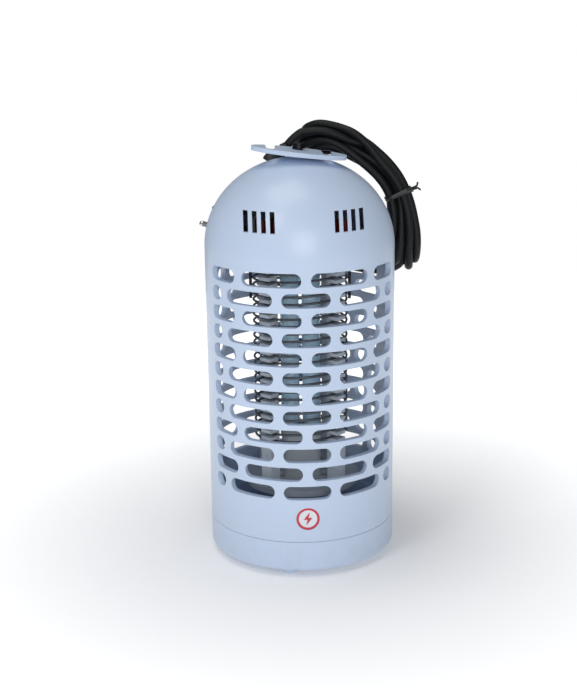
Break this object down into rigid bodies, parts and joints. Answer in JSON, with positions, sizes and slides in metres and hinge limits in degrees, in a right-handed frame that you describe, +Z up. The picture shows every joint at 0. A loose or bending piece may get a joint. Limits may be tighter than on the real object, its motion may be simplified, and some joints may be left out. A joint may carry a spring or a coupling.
{
  "type": "electric bug zapper",
  "caption": "Hanging insect killer: a slotted domed housing with a lamp inside a high-voltage wire grid, a pull-off collecting tray and a coiled mains lead.",
  "frame": {"origin": "centre of the housing's footprint, on the plane the feet stand on", "axes": "+Z up along the housing's axis, front with the badge towards -Y"},
  "size_m": [0.1494, 0.1495, 0.2859],
  "materials": {
    "shell": "gloss",
    "badge": "gloss",
    "white_plastic": "satin",
    "grey_plastic": "satin",
    "black_plastic": "satin",
    "cord_jacket": "satin",
    "steel": "satin",
    "black_steel": "satin",
    "grid_steel": "satin",
    "nickel": "polished",
    "brass": "polished",
    "glass_lamp": "gloss",
    "board": "satin",
    "core_steel": "satin",
    "copper": "gloss",
    "red_resin": "gloss",
    "blue_resin": "gloss",
    "tan_resin": "satin",
    "wire_insulation": "satin",
    "white_wire": "satin"
  },
  "bodies": {
    "housing_body": {"housing": "shell", "front_badge": "badge", "divider_plate": "white_plastic", "divider_screws": "steel", "hanger_screw": "black_steel", "hanger_washer": "steel", "hanger_nut": "steel", "cord_gland": "cord_jacket", "inner_lead": "cord_jacket", "cord_clamp": "white_plastic", "clamp_screw": "steel", "circuit_board": "board", "board_screws": "steel", "choke_core": "core_steel", "choke_coil": "copper", "film_capacitors": "red_resin", "disc_capacitors": "blue_resin", "diodes": "black_plastic", "resistors": "tan_resin", "fuse_holder": "black_plastic", "terminal_block": "white_plastic", "terminal_screws": "brass", "mains_wires": "wire_insulation", "grid_leads": "black_plastic", "lamp_leads": "white_wire", "grid_posts": "white_plastic", "post_screws": "steel", "grid_wire_a": "grid_steel", "grid_wire_b": "grid_steel", "grid_base": "grey_plastic", "base_screws": "steel", "lamp_socket": "grey_plastic", "lamp_base": "grey_plastic", "lamp_pins": "brass", "lamp_tubes": "glass_lamp", "cord_lead": "cord_jacket", "cord_hank": "cord_jacket", "cord_tie": "black_plastic", "cord_tail": "cord_jacket", "plug_body": "cord_jacket", "plug_pins": "nickel"},
    "hanger_body": {"hanger_plate": "shell"},
    "tray_body": {"collecting_tray": "shell", "tray_feet": "shell"}
  },
  "joints": [
    {"name": "hanger_rock", "type": "hinge", "parent": "housing_body", "child": "hanger_body", "pos_m": [0, 0, 0.2702], "axis": [0, -1, 0], "range_deg": [0, 14]},
    {"name": "tray_pull", "type": "slide", "parent": "housing_body", "child": "tray_body", "axis": [0, 0, -1], "range_m": [0, 0.06]}
  ]
}
